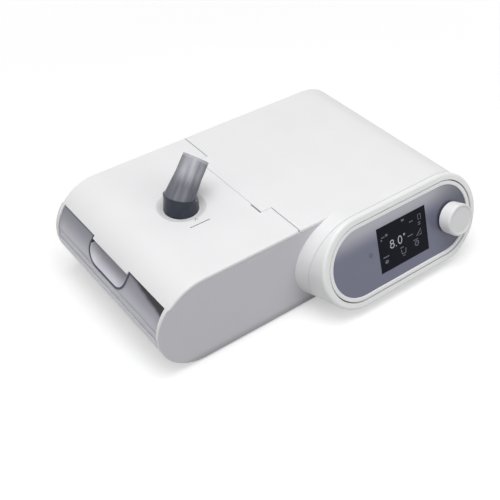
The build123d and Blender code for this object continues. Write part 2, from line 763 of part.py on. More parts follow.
with BuildPart() as tank_cover:
    with BuildSketch(xz(tank_rear)):
        tank_profile(tank_face_r, cover_bottom, tank_top)
    extrude(amount=tank_rear - tank_front)
    for y_high in (tank_rear, 2 * mid_y - shoulder_y):
        with BuildSketch(xz(y_high)):
            tank_profile(tank_face_r, cover_bottom, tank_shoulder_top)
        extrude(amount=tank_rear - shoulder_y)
    with BuildSketch(Plane.YZ.offset(left_x)):
        pocket_outline(0)
    extrude(amount=pocket_x - left_x, mode=Mode.SUBTRACT)
    add(cover_cavity.part, mode=Mode.SUBTRACT)
    add(pocket_trim.part, mode=Mode.SUBTRACT)
    post(elbow_x, mid_y, tank_top - tank_wall, tank_port_top, spigot_r + 2.5)
    post(elbow_x, mid_y, tank_top - tank_wall, tank_port_top, spigot_r, mode=Mode.SUBTRACT)
    with BuildSketch(Plane.YZ.offset(tank_right_x - tank_wall)):
        with Locations((mid_y, air_port_z)):
            SlotOverall(air_port_width, air_port_height)
    extrude(amount=tank_wall, mode=Mode.SUBTRACT)
save(tank_cover, "tank_cover")

with BuildPart() as tank_seal:
    with BuildSketch(xz(tank_rear - 0.2)):
        tank_profile(tank_face_r - 0.2, tank_split, cover_bottom)
    extrude(amount=tank_rear - tank_front - 0.4)
    block(
        (left_x, tank_front + tank_wall + 0.4, tank_split),
        (tank_right_x - tank_wall - 0.4, tank_rear - tank_wall - 0.4, cover_bottom),
        mode=Mode.SUBTRACT,
    )
    with BuildSketch(xz(tank_rear - 0.2)):
        with Locations((left_centre_x, mid_z)):
            Circle(tank_face_r - 0.2)
            Circle(tank_face_r - tank_wall - 0.4, mode=Mode.SUBTRACT)
        with Locations((left_centre_x, tank_split)):
            Rectangle(4 * end_r, 2 * end_r, align=(Align.CENTER, Align.MAX), mode=Mode.SUBTRACT)
        with Locations((left_centre_x, cover_bottom)):
            Rectangle(4 * end_r, 2 * end_r, align=(Align.CENTER, Align.MIN), mode=Mode.SUBTRACT)
        with Locations((left_centre_x, mid_z)):
            Rectangle(3 * end_r, 4 * end_r, align=(Align.MIN, Align.CENTER), mode=Mode.SUBTRACT)
    extrude(amount=tank_rear - tank_front - 0.4)
save(tank_seal, "tank_seal")

# Snorkel inside the tank, which carries the air from the port out over the water.
with BuildPart() as tank_snorkel:
    with BuildSketch(Plane.YZ.offset(tank_right_x - tank_wall - snorkel_length)):
        with Locations((mid_y, air_port_z)):
            SlotOverall(air_port_width + 2 * snorkel_wall, air_port_height + 2 * snorkel_wall)
            SlotOverall(air_port_width, air_port_height, mode=Mode.SUBTRACT)
    extrude(amount=snorkel_length)
save(tank_snorkel, "tank_snorkel")

# Heater under the tank.
heater_top = tank_bottom - 0.5
with BuildPart() as heater_plate:
    post(heater_x, mid_y, heater_top - 2.6, heater_top, heater_r)
save(heater_plate, "heater_plate")

with BuildPart() as heater_element:
    post(heater_x, mid_y, heater_top - 3.4, heater_top - 2.6, heater_r - 8.0)
save(heater_element, "heater_element")

with BuildPart() as heater_insulator:
    post(heater_x, mid_y, floor_z, heater_top - 2.6, heater_r)
    post(heater_x, mid_y, floor_z + 0.8, heater_top - 2.6, heater_r - 6.0, mode=Mode.SUBTRACT)
save(heater_insulator, "heater_insulator")

# Rubber duct from the blower's nozzle to the divider's port.
duct_start = divider_x + divider_thickness
with BuildPart() as outlet_duct:
    with BuildSketch(Plane.YZ.offset(duct_start)):
        with Locations((mid_y, air_port_z)):
            SlotOverall(air_port_width + 4.0, air_port_height + 4.0)
    with BuildSketch(Plane.YZ.offset(nozzle_end_x)):
        with Locations((nozzle_y, nozzle_z)):
            SlotOverall(2 * nozzle_r + 4.4, 2 * nozzle_r + 3.4)
    loft()
    with BuildSketch(Plane.YZ.offset(duct_start)):
        with Locations((mid_y, air_port_z)):
            SlotOverall(air_port_width, air_port_height)
    with BuildSketch(Plane.YZ.offset(nozzle_end_x)):
        with Locations((nozzle_y, nozzle_z)):
            SlotOverall(2 * nozzle_r - 1.6, 2 * nozzle_r - 2.6)
    loft(mode=Mode.SUBTRACT)
save(outlet_duct, "outlet_duct")

# Blower: scroll housing in two halves on four rubber mounts, with a brushless motor below it.
with BuildPart() as blower_housing:
    post(blower_x, blower_y, blower_floor, blower_top, blower_r)
    for x, y in blower_mount_places:
        post(x, y, blower_floor, blower_floor + 3.0, mount_r + 1.0)
    with BuildSketch(Plane.YZ.offset(nozzle_end_x)):
        with Locations((nozzle_y, nozzle_z)):
            Circle(nozzle_r)
    extrude(amount=blower_x - nozzle_end_x)
    post(
        blower_x, blower_y, blower_floor + blower_wall, blower_top,
        blower_r - blower_wall, mode=Mode.SUBTRACT,
    )
    with BuildSketch(Plane.YZ.offset(nozzle_end_x)):
        with Locations((nozzle_y, nozzle_z)):
            Circle(nozzle_r - nozzle_wall)
    extrude(amount=blower_x - nozzle_end_x, mode=Mode.SUBTRACT)
    post(blower_x, blower_y, blower_floor, blower_floor + blower_wall, bearing_r, mode=Mode.SUBTRACT)
save(blower_housing, "blower_housing")

with BuildPart() as blower_cap:
    post(blower_x, blower_y, blower_top, blower_top + cap_thickness, blower_r)
    post(blower_x, blower_y, blower_top, blower_top + inlet_height, inlet_r + inlet_wall)
    post(blower_x, blower_y, blower_top, blower_top + inlet_height, inlet_r, mode=Mode.SUBTRACT)
save(blower_cap, "blower_cap")

with BuildPart() as blower_mounts:
    for x, y in blower_mount_places:
        post(x, y, mount_bottom, blower_floor, mount_r)
        post(x, y, mount_bottom + 3.5, blower_floor - 3.5, mount_r, mode=Mode.SUBTRACT)
        post(x, y, mount_bottom, blower_floor, mount_r - 1.4)
save(blower_mounts, "blower_mounts")

with BuildPart() as motor_housing:
    post(blower_x, blower_y, motor_bottom, blower_floor, motor_r)
    post(blower_x, blower_y, motor_bottom + 4.0, blower_floor, motor_r - motor_wall, mode=Mode.SUBTRACT)
    post(
        blower_x, blower_y, motor_bottom + 4.0 - bearing_height, motor_bottom + 4.0,
        bearing_r, mode=Mode.SUBTRACT,
    )
save(motor_housing, "motor_housing")

stator_low = motor_bottom + 5.0
stator_high = blower_floor - 2.0
with BuildPart() as motor_stator:
    post(blower_x, blower_y, stator_low, stator_high, motor_r - motor_wall)
    post(
        blower_x, blower_y, stator_low, stator_high,
        motor_r - motor_wall - stator_wall, mode=Mode.SUBTRACT,
    )
    with Locations((blower_x, blower_y, (stator_low + stator_high) / 2)):
        with PolarLocations(motor_r - motor_wall - stator_wall - 0.4 * coil_size[0], coil_count):
            Box(*coil_size, stator_high - stator_low)
save(motor_stator, "motor_stator")

with BuildPart() as motor_bearings:
    for low in (motor_bottom + 4.0 - bearing_height, blower_floor + blower_wall - bearing_height):
        post(blower_x, blower_y, low, low + bearing_height, bearing_r)
        post(blower_x, blower_y, low, low + bearing_height, motor_shaft_r + fit_gap, mode=Mode.SUBTRACT)
save(motor_bearings, "motor_bearings")

impeller_low = blower_floor + blower_wall + 2.0
impeller_high = blower_top - 3.0
with BuildPart() as motor_rotor:
    post(blower_x, blower_y, motor_bottom + 2.0, impeller_high - 2.0, motor_shaft_r)
    post(blower_x, blower_y, stator_low + 0.5, stator_high - 0.5, rotor_r)
save(motor_rotor, "motor_rotor")

with BuildPart() as impeller:
    post(blower_x, blower_y, impeller_low, impeller_low + impeller_floor, impeller_r)
    with Locations((blower_x, blower_y, (impeller_low + impeller_high) / 2)):
        with PolarLocations((impeller_r + impeller_hub_r) / 2, blade_count):
            with Locations(Rotation(0, 0, 35)):
                Box(impeller_r - impeller_hub_r, blade_thickness, impeller_high - impeller_low)
    post(blower_x, blower_y, impeller_low, impeller_high, impeller_hub_r)
    post(blower_x, blower_y, impeller_low, impeller_high - 2.0, motor_shaft_r, mode=Mode.SUBTRACT)
save(impeller, "impeller")

# Air intake in the rear wall: snap-off grille, pleated filter, and a foam lined box behind it.
with BuildPart() as filter_cover:
    with BuildSketch(xz(rear_y)):
        with Locations(filter_mid):
            RectangleRounded(
                filter_size[0] + 2 * filter_cover_lap - 2 * seam_gap,
                filter_size[1] + 2 * filter_cover_lap - 2 * seam_gap,
                2.0,
            )
    extrude(amount=trim_thickness)
    with BuildSketch(xz(rear_y - trim_thickness)):
        with Locations(filter_mid):
            Rectangle(filter_size[0] - 2 * seam_gap, filter_size[1] - 2 * seam_gap)
            Rectangle(filter_size[0] - 4.0, filter_size[1] - 4.0, mode=Mode.SUBTRACT)
    extrude(amount=filter_cover_thickness - trim_thickness)
    with BuildSketch(xz(rear_y)):
        with Locations(filter_mid):
            with GridLocations(0, 3.4, 1, 8):
                SlotOverall(filter_size[0] - 6.0, 1.6)
    extrude(amount=trim_thickness, mode=Mode.SUBTRACT)
save(filter_cover, "filter_cover")

with BuildPart() as air_filter:
    block(
        (filter_low[0] + 0.4, wall_in_rear, filter_low[1] + 0.4),
        (filter_high[0] - 0.4, rear_y - filter_cover_thickness - 0.2, filter_high[1] - 0.4),
    )
save(air_filter, "air_filter")

with BuildPart() as intake_box:
    block(
        (filter_low[0] - 3.0, wall_in_rear - intake_depth, filter_low[1] - 3.0),
        (filter_high[0] + 3.0, wall_in_rear, filter_high[1] + 3.0),
    )
    block(
        (filter_low[0] - 1.0, wall_in_rear - intake_depth + 2.0, filter_low[1] - 1.0),
        (filter_high[0] + 1.0, wall_in_rear, filter_high[1] + 1.0),
        mode=Mode.SUBTRACT,
    )
    block(
        (filter_mid[0] - 12.0, wall_in_rear - intake_depth + 2.0, filter_high[1]),
        (filter_mid[0] + 12.0, wall_in_rear - 4.0, filter_high[1] + 3.0),
        mode=Mode.SUBTRACT,
    )
save(intake_box, "intake_box")

with BuildPart() as silencer_foam:
    block(
        (filter_low[0] - 1.0, wall_in_rear - intake_depth + 2.0, filter_low[1] - 1.0),
        (filter_high[0] + 1.0, wall_in_rear - intake_depth + 8.0, filter_high[1] + 1.0),
    )
save(silencer_foam, "silencer_foam")

# Main board on four bosses, with its parts.
with BuildPart() as main_board:
    block((*board_low, board_z), (*board_high, board_top))
    for x, y in board_screw_places:
        post(x, y, board_z, board_top, board_screw_r + 0.2, mode=Mode.SUBTRACT)
save(main_board, "main_board")

with BuildPart() as board_components:
    for across, along, (width, depth, height) in (
        (0.18, 0.35, (12.0, 12.0, 1.4)),
        (0.4, 0.6, (8.0, 8.0, 1.2)),
        (0.69, 0.72, (20.0, 6.0, 7.0)),
        (0.88, 0.39, (10.0, 16.0, 9.0)),
    ):
        x = board_low[0] + across * board_width
        y = board_low[1] + along * board_depth
        block(
            (x - width / 2, y - depth / 2, board_top),
            (x + width / 2, y + depth / 2, board_top + height),
        )
    for across in (0.13, 0.25, 0.36):
        post(
            board_low[0] + across * board_width, board_low[1] + 0.83 * board_depth,
            board_top, board_top + capacitor_height, capacitor_r,
        )
save(board_components, "board_components")

with BuildPart() as board_screws:
    for x, y in board_screw_places:
        post(x, y, board_z - board_screw_length, board_top, board_screw_r)
        post(x, y, board_top, board_top + board_head_height, board_head_r)
save(board_screws, "board_screws")

# Socket board by the rear wall, with the power inlet and the card socket.
with BuildPart() as socket_board:
    block((*io_low, io_z), (*io_high, io_top))
save(socket_board, "socket_board")

with BuildPart() as power_inlet:
    block(
        (jack_x - jack_body[0] / 2, wall_in_rear - jack_body[1], io_top),
        (jack_x + jack_body[0] / 2, wall_in_rear, io_top + jack_body[2]),
    )
    bar(wall_in_rear, rear_y - 0.4, jack_x, jack_z, jack_r)
    bar(rear_y - 0.4 - jack_depth, rear_y - 0.4, jack_x, jack_z, jack_bore_r, mode=Mode.SUBTRACT)
save(power_inlet, "power_inlet")

with BuildPart() as power_inlet_pin:
    bar(rear_y - 0.4 - jack_depth, rear_y - 2.0, jack_x, jack_z, jack_pin_r)
save(power_inlet_pin, "power_inlet_pin")

with BuildPart() as card_socket:
    block(
        (card_low[0] + 2.0, io_low[1] + 1.0, io_top),
        (card_high[0] - 2.0, wall_in_rear - 1.0, io_top + 4.2),
    )
    block(
        (card_low[0] + 3.0, io_low[1] + 4.0, io_top + 1.0),
        (card_high[0] - 3.0, wall_in_rear - 1.0, io_top + 3.4),
        mode=Mode.SUBTRACT,
    )
save(card_socket, "card_socket")

# Rubber flap over the card slot, hinged along its upper edge.
card_hinge_y = rear_y - card_cover_thickness / 2
card_hinge_z = card_high[1] - seam_gap - card_cover_thickness / 2
with BuildPart() as card_cover:
    block(
        (card_low[0] + seam_gap, rear_y - card_cover_thickness, card_low[1] + seam_gap),
        (card_high[0] - seam_gap, rear_y, card_hinge_z),
    )
    with Locations(Location((card_mid[0], card_hinge_y, card_hinge_z), (0, 90, 0))):
        Cylinder(card_cover_thickness / 2, card_slot_size[0] - 2 * seam_gap)
save(card_cover, "card_cover")

# Control panel: a white bezel that wedges out from the collar to the leaning front.
with BuildPart() as panel_bezel:
    with BuildSketch(xz(collar_y - seam_gap)):
        stadium(collar_left_centre, right_centre_x, mid_z, end_r)
    with BuildSketch(panel.offset(bezel_lip)):
        panel_slot(panel_end_r)
    loft()
    fillet(panel_bezel.faces().sort_by(Axis.Y)[0].edges(), radius=bezel_edge_r)
    with BuildSketch(xz(collar_y - seam_gap)):
        stadium(collar_left_centre, right_centre_x, mid_z, end_r - shell_wall)
    with BuildSketch(panel.offset(-fascia_thickness)):
        panel_slot(panel_end_r - shell_wall)
    loft(mode=Mode.SUBTRACT)
    with BuildSketch(panel.offset(-fascia_thickness)):
        panel_slot(groove_r)
    extrude(amount=fascia_thickness + bezel_lip, mode=Mode.SUBTRACT)
save(panel_bezel, "panel_bezel")

panel_normal = Axis(panel.origin, panel.z_dir)
with BuildPart() as panel_trim_ring:
    with BuildSketch(panel.offset(-fascia_thickness)):
        panel_slot(ring_outer_r)
        panel_slot(fascia_r + 0.1, mode=Mode.SUBTRACT)
    extrude(amount=fascia_thickness)
    with BuildSketch(panel):
        panel_slot(ring_outer_r)
        panel_slot(ring_inner_r, mode=Mode.SUBTRACT)
    extrude(amount=trim_ring_height)
    fillet(panel_trim_ring.edges().sort_by(panel_normal)[-8:], radius=trim_ring_edge_r)
save(panel_trim_ring, "panel_trim_ring")

with BuildPart() as panel_fascia:
    with BuildSketch(panel.offset(-fascia_thickness)):
        panel_slot(fascia_r)
        with Locations((window_u, window_v)):
            Rectangle(window_width, window_height, mode=Mode.SUBTRACT)
        with Locations((knob_u, knob_v)):
            Circle(shaft_r + 1.5, mode=Mode.SUBTRACT)
    extrude(amount=fascia_thickness)
save(panel_fascia, "panel_fascia")

with BuildPart() as display_window:
    with BuildSketch(panel.offset(-fascia_thickness)):
        with Locations((window_u, window_v)):
            Rectangle(window_width - 0.2, window_height - 0.2)
    extrude(amount=fascia_thickness)
save(display_window, "display_window")

display_back = fascia_thickness + display_thickness
board_front = display_back + 0.2
frame_opening = (window_width + 10.0, window_height + 9.0)
with BuildPart() as panel_frame:
    with BuildSketch(panel.offset(-fascia_thickness - frame_thickness)):
        panel_slot(panel_end_r - shell_wall - 3 * seam_gap)
        with Locations((window_u, window_v)):
            Rectangle(*frame_opening, mode=Mode.SUBTRACT)
        with Locations((knob_u, knob_v)):
            Rectangle(15.0, 15.0, mode=Mode.SUBTRACT)
    extrude(amount=frame_thickness)
    with BuildSketch(panel.offset(-board_front)):
        with Locations((window_u, window_v)):
            with GridLocations(frame_opening[0] + 14.0, frame_opening[1] - 6.0, 2, 2):
                Circle(3.0)
    extrude(amount=board_front - fascia_thickness - frame_thickness)
save(panel_frame, "panel_frame")

with BuildPart() as display_module:
    with BuildSketch(panel.offset(-display_back)):
        with Locations((window_u, window_v)):
            Rectangle(frame_opening[0] - 0.6, frame_opening[1] - 0.6)
    extrude(amount=display_thickness)
save(display_module, "display_module")

with BuildPart() as panel_board:
    with BuildSketch(panel.offset(-board_front - board_thickness)):
        with Locations((window_u + panel_board_shift, window_v)):
            Rectangle(
                panel_straight + 2 * panel_board_margin[0],
                window_height + 2 * panel_board_margin[1],
            )
    extrude(amount=board_thickness)
save(panel_board, "panel_board")

# Push and turn encoder: the can stands on the board, the plunger and the shaft move in it.
plunger_r = 5.0
plunger_depth = 1.6
with BuildPart() as encoder_body:
    with BuildSketch(panel.offset(-board_front)):
        with Locations((knob_u, knob_v)):
            Rectangle(14.0, 14.0)
    extrude(amount=board_front - fascia_thickness - 0.2)
    with BuildSketch(panel.offset(-board_front)):
        with Locations((knob_u, knob_v)):
            Circle(plunger_r + 0.3)
    extrude(amount=plunger_depth + knob_travel + 0.3, mode=Mode.SUBTRACT)
    with BuildSketch(panel.offset(-board_front)):
        with Locations((knob_u, knob_v)):
            Circle(shaft_r + fit_gap)
    extrude(amount=board_front, mode=Mode.SUBTRACT)
save(encoder_body, "encoder_body")

plunger_low = board_front - knob_travel - 0.2
with BuildPart() as encoder_plunger:
    with BuildSketch(panel.offset(-plunger_low)):
        with Locations((knob_u, knob_v)):
            Circle(plunger_r)
    extrude(amount=plunger_depth)
save(encoder_plunger, "encoder_plunger")

shaft_low = plunger_low - plunger_depth - 0.1
shaft_high = knob_top - 3.0
with BuildPart() as encoder_shaft:
    with BuildSketch(panel.offset(-shaft_low)):
        with Locations((knob_u, knob_v)):
            Circle(shaft_r)
    extrude(amount=shaft_low + shaft_high)
save(encoder_shaft, "encoder_shaft")

knob_low = knob_travel + trim_ring_height - 0.4
knob_axis = Plane(
    origin=panel.from_local_coords(Vector(knob_u, knob_v, 0)),
    x_dir=(1, 0, 0),
    z_dir=panel.z_dir,
)
knob_profile = Plane(origin=knob_axis.origin, x_dir=knob_axis.x_dir, z_dir=-knob_axis.y_dir)
with BuildPart() as control_knob:
    with BuildSketch(knob_profile):
        with BuildLine():
            Polyline(
                (0, knob_top - 0.7),
                (knob_face_r, knob_top - 0.7),
                (knob_face_r + 1.0, knob_top),
                (knob_r - knob_edge_r, knob_top),
            )
            RadiusArc(
                (knob_r - knob_edge_r, knob_top),
                (knob_r, knob_top - knob_edge_r),
                knob_edge_r,
            )
            Polyline(
                (knob_r, knob_top - knob_edge_r),
                (knob_r - 0.4, knob_low),
                (0, knob_low),
                (0, knob_top - 0.7),
            )
        make_face()
    revolve(axis=Axis(knob_axis.origin, knob_axis.z_dir))
    with BuildSketch(knob_axis.offset(knob_low)):
        Circle(knob_r - 2.6)
        Circle(shaft_r + 2.4, mode=Mode.SUBTRACT)
    extrude(amount=knob_top - knob_low - 3.0, mode=Mode.SUBTRACT)
    with BuildSketch(knob_axis.offset(knob_low)):
        Circle(shaft_r)
    extrude(amount=shaft_high - knob_low, mode=Mode.SUBTRACT)
save(control_knob, "control_knob")

# Flat cable from the main board up to the back of the panel board.
cable_end = panel.from_local_coords(Vector(0, -14.0, -board_front - board_thickness))
with BuildPart() as panel_cable:
    with BuildSketch(Plane.YZ.offset(panel_x - 22.0)):
        with BuildLine():
            Polyline(
                (front_y + 18.0, board_top),
                (front_y + 17.0, board_top + 4.0),
                (cable_end.Y + 0.3, cable_end.Z + 0.4),
                (cable_end.Y, cable_end.Z - 0.5),
                (front_y + 16.2, board_top + 3.2),
                (front_y + 17.2, board_top),
                close=True,
            )
        make_face()
    extrude(amount=20.0)
save(panel_cable, "panel_cable")
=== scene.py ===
from math import cos, hypot, pi, radians, sin
import bpy
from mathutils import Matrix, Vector


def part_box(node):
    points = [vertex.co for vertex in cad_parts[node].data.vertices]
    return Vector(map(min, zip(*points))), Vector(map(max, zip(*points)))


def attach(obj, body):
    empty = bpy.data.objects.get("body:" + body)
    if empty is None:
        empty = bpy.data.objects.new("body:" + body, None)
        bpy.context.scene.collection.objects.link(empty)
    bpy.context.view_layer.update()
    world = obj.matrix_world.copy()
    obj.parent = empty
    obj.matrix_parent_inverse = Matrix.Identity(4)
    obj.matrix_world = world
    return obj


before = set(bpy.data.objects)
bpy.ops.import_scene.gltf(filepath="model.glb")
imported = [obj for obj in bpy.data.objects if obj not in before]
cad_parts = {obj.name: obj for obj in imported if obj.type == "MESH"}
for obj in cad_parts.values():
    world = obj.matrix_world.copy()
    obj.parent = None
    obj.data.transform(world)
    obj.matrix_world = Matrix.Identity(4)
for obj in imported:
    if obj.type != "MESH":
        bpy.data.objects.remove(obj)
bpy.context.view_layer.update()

# The studio: a wide white floor under soft lamps, and the camera above the machine's left front
# corner. The floor is plain paper that keeps the machine's soft shadow.
MM = 0.001
white = (1.0, 1.0, 1.0)
camera_pitch = 40.91
camera_yaw = 36.97
floor_reach = 6.0

scene = bpy.context.scene
scene.view_settings.view_transform = "Standard"
camera = bpy.data.objects.new("camera", bpy.data.cameras.new("camera"))
scene.collection.objects.link(camera)
camera.data.lens = 61.5
camera.data.sensor_width = 36.0
camera.data.clip_start = 10.0 * MM
camera.location = (-0.3617, -0.4442, 0.5089)
camera.rotation_euler = (radians(90.0 - camera_pitch), 0.0, radians(-camera_yaw))
scene.camera = camera


def mesh_piece(name, points, faces, material):
    """A mesh object from points in metres."""
    mesh = bpy.data.meshes.new(name)
    mesh.from_pydata([tuple(p) for p in points], [], faces)
    mesh.update()
    mesh.materials.append(material)
    piece = bpy.data.objects.new(name, mesh)
    scene.collection.objects.link(piece)
    return piece


def new_material(name):
    """An empty material with its node tree and its shader."""
    material = bpy.data.materials.new(name)
    material.use_nodes = True
    return material, material.node_tree, material.node_tree.nodes["Principled BSDF"]


def fill(tree, node, sockets):
    """Gives a node's sockets plain values, or links them to the outputs that are given instead."""
    for name, value in sockets.items():
        socket = node.inputs[name]
        if isinstance(value, bpy.types.NodeSocket):
            tree.links.new(value, socket)
        elif socket.type == "RGBA":
            socket.default_value = (*value, 1.0)
        else:
            socket.default_value = value


def add(tree, kind, output, sockets, **settings):
    """Adds a node of a kind and returns one of its outputs."""
    node = tree.nodes.new("ShaderNode" + kind)
    for name, value in settings.items():
        setattr(node, name, value)
    fill(tree, node, sockets)
    return node.outputs[output]


def rescaled(tree, value, low, high, start=0.0, end=1.0, easing="LINEAR"):
    """A value that runs from low to high while another runs from start to end."""
    sockets = {"Value": value, "From Min": start, "From Max": end, "To Min": low, "To Max": high}
    return add(tree, "MapRange", "Result", sockets, interpolation_type=easing)


def backdrop_strength(tree, unseen, seen):
    """A strength that differs between rays that see the backdrop and rays that only light things."""
    rays = tree.nodes.new("ShaderNodeLightPath").outputs
    mirrored = {0: rays["Is Glossy Ray"], 1: rays["Is Transmission Ray"]}
    sharp = add(tree, "Math", "Value", mirrored, operation="MAXIMUM")
    either = add(tree, "Math", "Value", {0: rays["Is Camera Ray"], 1: sharp}, operation="MAXIMUM")
    return rescaled(tree, either, unseen, seen)


def place_at_rest(tree):
    """Where a point is while the machine is at rest, in metres."""
    return tree.nodes.new("ShaderNodeTexCoord").outputs["Object"]


paper, paper_tree, paper_shader = new_material("studio_paper")
fill(paper_tree, paper_shader, {
    "Base Color": backdrop_strength(paper_tree, 0.42, 0.75),
    "Roughness": 0.95,
    "Specular IOR Level": 0.1,
})
paper_reach = add(paper_tree, "VectorMath", "Value", {0: place_at_rest(paper_tree)}, operation="LENGTH")
paper_glow = rescaled(paper_tree, paper_reach, 0.36, 0.80, start=0.35, end=1.5, easing="SMOOTHSTEP")
paper_light = add(
    paper_tree, "Math", "Value",
    {0: paper_glow, 1: backdrop_strength(paper_tree, 0.0, 1.0)},
    operation="MULTIPLY",
)
paper_lit = add(paper_tree, "Emission", "Emission", {"Color": white, "Strength": paper_light})
paper_face = add(paper_tree, "AddShader", "Shader", {0: paper_shader.outputs["BSDF"], 1: paper_lit})
fill(paper_tree, paper_tree.nodes["Material Output"], {"Surface": paper_face})
floor = mesh_piece(
    "studio_floor",
    [(floor_reach * x, floor_reach * y, 0.0) for x, y in ((-1, -1), (1, -1), (1, 1), (-1, 1))],
    [(0, 1, 2, 3)],
    paper,
)

world = bpy.data.worlds.new("studio_air")
world.use_nodes = True
air = world.node_tree
air_way = air.nodes.new("ShaderNodeTexCoord").outputs["Generated"]
to_the_right = add(air, "SeparateXYZ", "X", {"Vector": air_way})
air_fall = rescaled(air, to_the_right, 0.52, 0.30, start=-1.0)
air_light = {0: air_fall, 1: backdrop_strength(air, 0.0, 1.0)}
fill(air, air.nodes["Background"], {
    "Color": white,
    "Strength": add(air, "Math", "Value", air_light, operation="MAXIMUM"),
})
scene.world = world


def softbox(name, place, target, size, power):
    """A square area lamp that faces a target."""
    lamp = bpy.data.objects.new(name, bpy.data.lights.new(name, "AREA"))
    scene.collection.objects.link(lamp)
    lamp.data.size = size
    lamp.data.energy = power
    lamp.location = place
    lamp.rotation_euler = (Vector(target) - Vector(place)).to_track_quat("-Z", "Y").to_euler()


softbox("key_softbox", (-0.12, -0.15, 1.25), (0.0, 0.0, 0.05), size=0.9, power=8.6)
softbox("left_softbox", (-1.3, -0.2, 0.75), (0.0, 0.0, 0.05), size=1.1, power=2.2)
softbox("front_softbox", (0.35, -1.2, 0.75), (0.05, 0.0, 0.05), size=0.9, power=3.5)


# Bottom shell: the trough that carries everything, with its two side walls. It is moulded in white
# ABS, and its rim shows as a thin white band round the left end.
def speckle(tree, scale, detail=2.0):
    """Noise that stays with the piece as it moves."""
    sockets = {"Vector": place_at_rest(tree), "Scale": scale, "Detail": detail}
    return add(tree, "TexNoise", "Fac", sockets)


def mixed(tree, amount, first, second):
    """A colour that runs from the first to the second with an amount."""
    return add(tree, "Mix", "Result", {"Factor": amount, "A": first, "B": second}, data_type="RGBA")


def relief(tree, height, strength, depth):
    """A fine relief, with its depth in metres."""
    return add(tree, "Bump", "Normal", {"Height": height, "Strength": strength, "Distance": depth})


def moulded(
    name, colour, roughness,
    grain=0.012 * MM, grain_scale=2600.0, drift=0.03, coat=0.0, sheen=0.5, metallic=0.0,
):
    """Injection moulded plastic: spark-eroded grain, faint flow clouds and uneven gloss."""
    material, tree, shader = new_material(name)
    clouds = speckle(tree, 24.0, detail=3.0)
    pits = speckle(tree, grain_scale)
    dark = [c * (1.0 - drift) for c in colour]
    pale = [min(1.0, c * (1.0 + drift)) for c in colour]
    fill(tree, shader, {
        "Base Color": mixed(tree, clouds, dark, pale),
        "Metallic": metallic,
        "Roughness": rescaled(tree, pits, max(0.02, roughness - 0.06), min(1.0, roughness + 0.06)),
        "Specular IOR Level": sheen,
        "Normal": relief(tree, pits, 0.35, grain),
        "Coat Weight": coat,
        "Coat Roughness": 0.12,
    })
    return material


def dress(material, *names):
    """Gives CAD nodes their finish."""
    for name in names:
        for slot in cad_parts[name].material_slots:
            slot.material = material


shell_white = moulded("shell_white", (0.82, 0.82, 0.83), 0.42, sheen=0.2)
dress(shell_white, "bottom_shell")


# Case screws: zinc plated self-tapping screws, driven up from below into the main cover's bosses.
# Each sits deep in its hole in the bottom shell.
def metal(name, colour, roughness, marks=(900.0, 900.0, 900.0), depth=0.01 * MM):
    """Bare or plated metal with fine tool marks, as many to the metre each way as is given."""
    material, tree, shader = new_material(name)
    stretched = add(tree, "Mapping", "Vector", {"Vector": place_at_rest(tree), "Scale": marks})
    scratches = add(tree, "TexNoise", "Fac", {"Vector": stretched, "Scale": 1.0, "Detail": 4.0})
    fill(tree, shader, {
        "Base Color": mixed(tree, scratches, [c * 0.82 for c in colour], colour),
        "Metallic": 1.0,
        "Roughness": rescaled(tree, scratches, max(0.05, roughness - 0.1), roughness + 0.1),
        "Normal": relief(tree, scratches, 0.3, depth),
    })
    return material


zinc = metal("zinc_plate", (0.62, 0.63, 0.66), 0.34, marks=(3000.0, 3000.0, 400.0))
dress(zinc, "case_screws", "board_screws")


# Feet: four grey silicone rubber pads, glued under the corners. They grip a bedside table and keep
# the motor's hum off it.
def ramp(tree, amount, low, low_colour, high, high_colour):
    """A colour that runs between two, and stays even outside them."""
    node = tree.nodes.new("ShaderNodeValToRGB")
    first, last = node.color_ramp.elements
    first.position, last.position = low, high
    first.color, last.color = (*low_colour, 1.0), (*high_colour, 1.0)
    fill(tree, node, {"Fac": amount})
    return node.outputs["Color"]


def cells(tree, scale):
    """The distance from the middle of small cells that stay with the piece as it moves."""
    return add(tree, "TexVoronoi", "Distance", {"Vector": place_at_rest(tree), "Scale": scale})


def rubbery(name, colour, roughness=0.75, grain=0.04 * MM):
    """Rubber: dull, finely pitted, with a faint bloom of dust."""
    material, tree, shader = new_material(name)
    bloom = speckle(tree, 70.0, detail=6.0)
    dusty = [c * 1.25 + 0.01 for c in colour]
    fill(tree, shader, {
        "Base Color": ramp(tree, bloom, 0.35, colour, 0.75, dusty),
        "Roughness": rescaled(tree, bloom, roughness - 0.12, roughness + 0.1),
        "Specular IOR Level": 0.3,
        "Normal": relief(tree, cells(tree, 1400.0), 0.4, grain),
    })
    return material


foot_rubber = rubbery("foot_rubber", (0.12, 0.12, 0.125))
dress(foot_rubber, "rubber_feet")


# Side panels: 1 mm skins of light grey polycarbonate, bonded to the front and rear walls. They have
# the same fine grain as the covers, in a cooler grey, with painted shade along their lower edge.
def fade(material, way, start, end, colour, share=1.0, waver=0.0):
    """Paints shade and highlights into a finish: fades it into another colour between two distances
    along a direction, in metres.
    """
    tree = material.node_tree
    shader = tree.nodes["Principled BSDF"]
    reach = add(tree, "VectorMath", "Value", {0: place_at_rest(tree), 1: way}, operation="DOT_PRODUCT")
    if waver:
        blots = {0: speckle(tree, 160.0), 1: waver, 2: reach}
        reach = add(tree, "Math", "Value", blots, operation="MULTIPLY_ADD")
    middle = waver / 2
    amount = rescaled(tree, reach, 0.0, share, start + middle, end + middle, easing="SMOOTHSTEP")
    under = shader.inputs["Base Color"].links[0].from_socket
    fill(tree, shader, {"Base Color": mixed(tree, amount, under, colour)})


